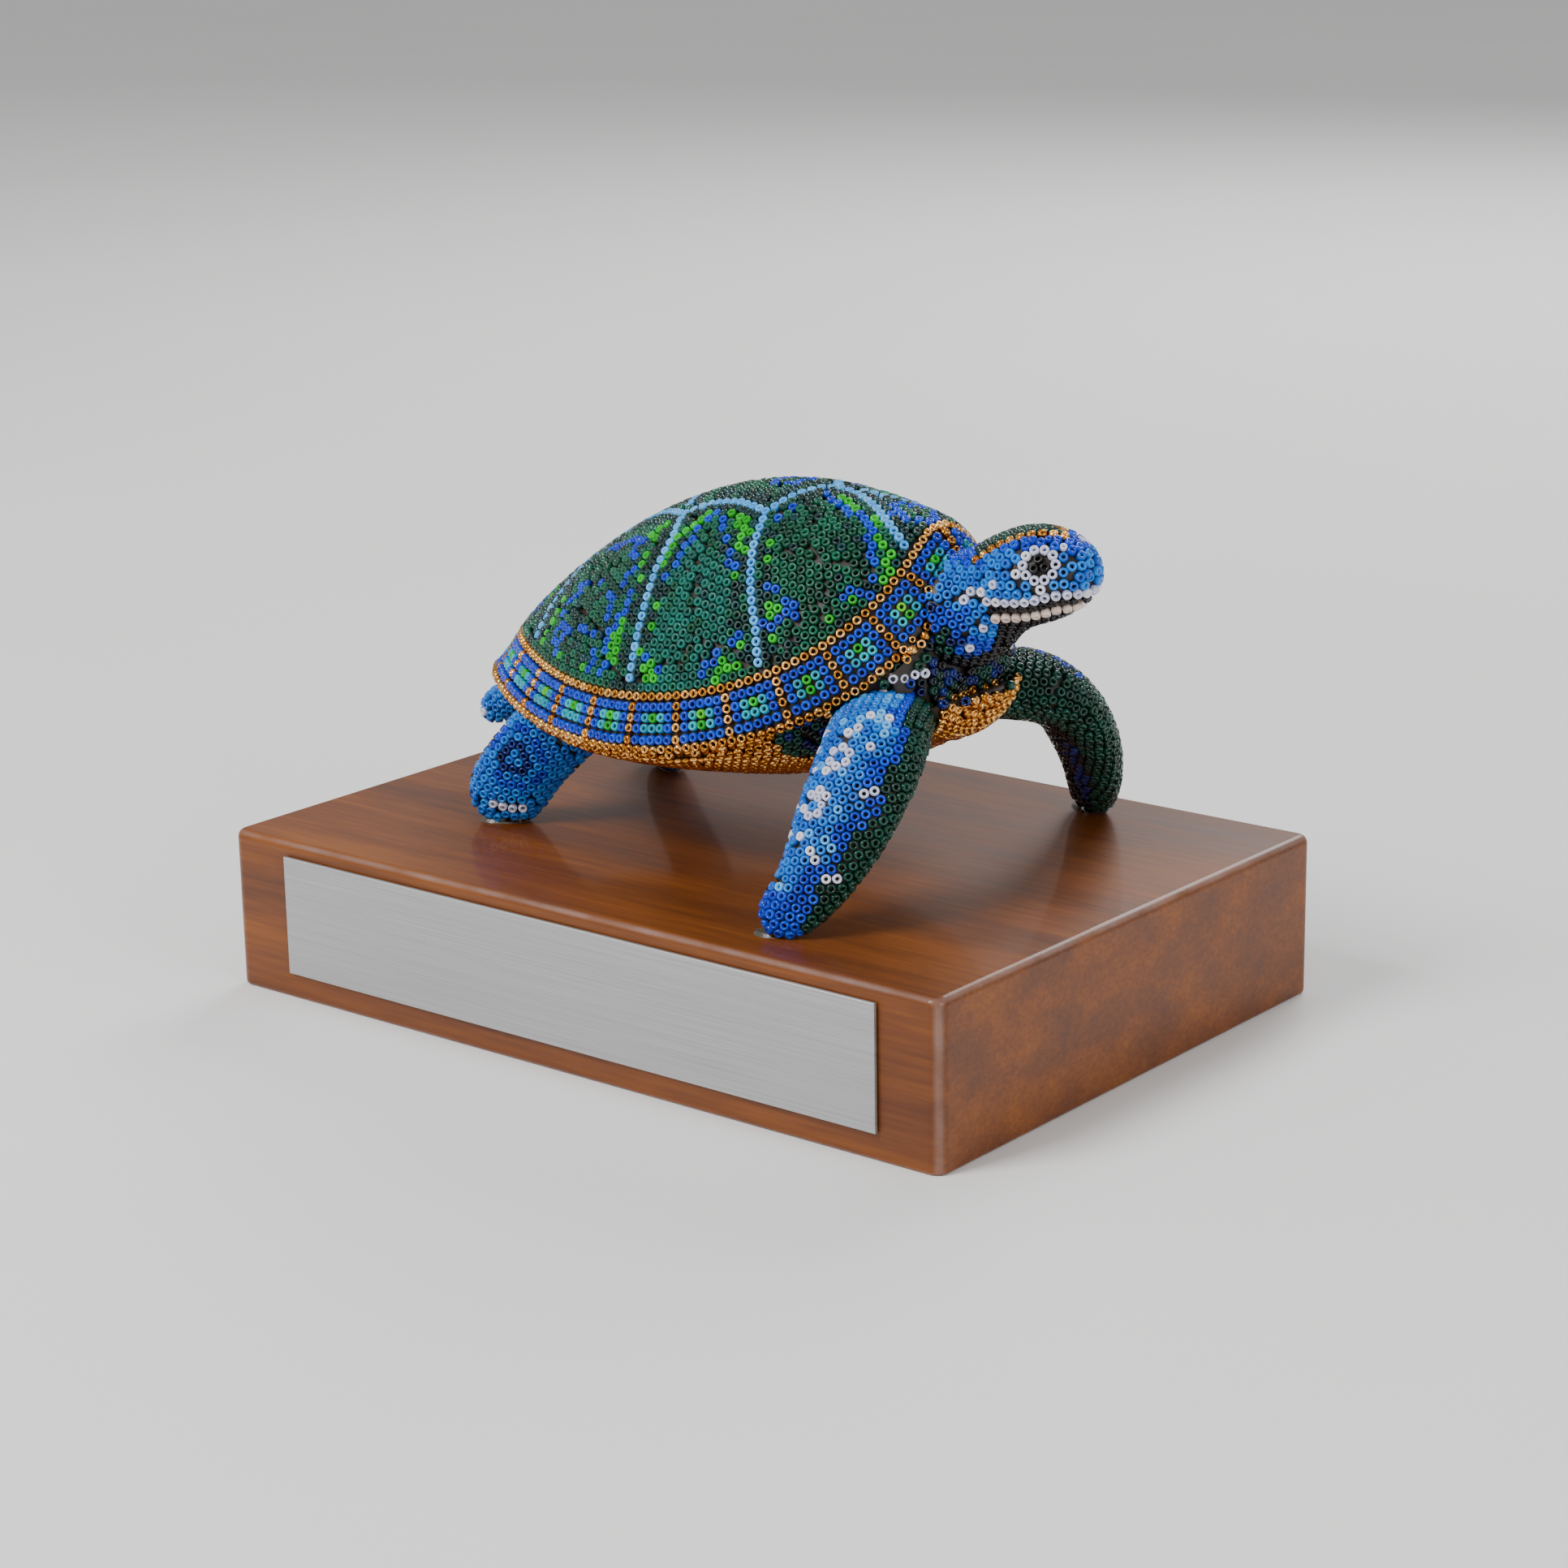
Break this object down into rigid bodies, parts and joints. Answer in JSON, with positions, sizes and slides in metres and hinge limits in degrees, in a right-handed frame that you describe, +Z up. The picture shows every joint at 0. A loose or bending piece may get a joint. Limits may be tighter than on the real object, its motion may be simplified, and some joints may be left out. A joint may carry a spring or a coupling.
{
  "type": "beaded turtle figure",
  "caption": "Carved wooden sea turtle covered in patterned glass beads set in wax, glued to a lacquered wooden plinth with a metal name plate.",
  "frame": {"origin": "middle of the plinth's flat underside", "axes": "+X along the plinth's long side, the way the turtle faces; -Y is the side with the plaque; +Z up"},
  "size_m": [0.18, 0.1266, 0.1072],
  "materials": {
    "lacquered_wood": "dark brown hardwood under a semi-gloss lacquer, worn paler along the edges",
    "plaque_metal": "brushed, with bevelled edges",
    "tape": "double-sided foam tape",
    "carved_wood": "plain pale softwood, carved and sanded",
    "dowel_wood": "plain birch dowel",
    "wax": "beeswax and resin, dull brown with a soft sheen",
    "clear_glue": "clear set glue",
    "glass_beads": "small glossy glass seed beads in greens, blues, gold and white"
  },
  "bodies": {
    "root": {"belly_beads": "glass_beads", "belly_core": "carved_wood", "belly_wax": "wax", "carapace_beads": "glass_beads", "carapace_core": "carved_wood", "carapace_wax": "wax", "head_beads": "glass_beads", "head_core": "carved_wood", "head_dowel": "dowel_wood", "head_wax": "wax", "left_front_flipper_beads": "glass_beads", "left_front_flipper_core": "carved_wood", "left_front_flipper_dowel": "dowel_wood", "left_front_flipper_glue": "clear_glue", "left_front_flipper_wax": "wax", "left_rear_flipper_beads": "glass_beads", "left_rear_flipper_core": "carved_wood", "left_rear_flipper_dowel": "dowel_wood", "left_rear_flipper_glue": "clear_glue", "left_rear_flipper_wax": "wax", "plaque": "plaque_metal", "plaque_tape": "tape", "plinth": "lacquered_wood", "right_front_flipper_beads": "glass_beads", "right_front_flipper_core": "carved_wood", "right_front_flipper_dowel": "dowel_wood", "right_front_flipper_glue": "clear_glue", "right_front_flipper_wax": "wax", "right_rear_flipper_beads": "glass_beads", "right_rear_flipper_core": "carved_wood", "right_rear_flipper_dowel": "dowel_wood", "right_rear_flipper_glue": "clear_glue", "right_rear_flipper_wax": "wax", "tail_beads": "glass_beads", "tail_core": "carved_wood", "tail_dowel": "dowel_wood", "tail_wax": "wax"}
  },
  "joints": []
}
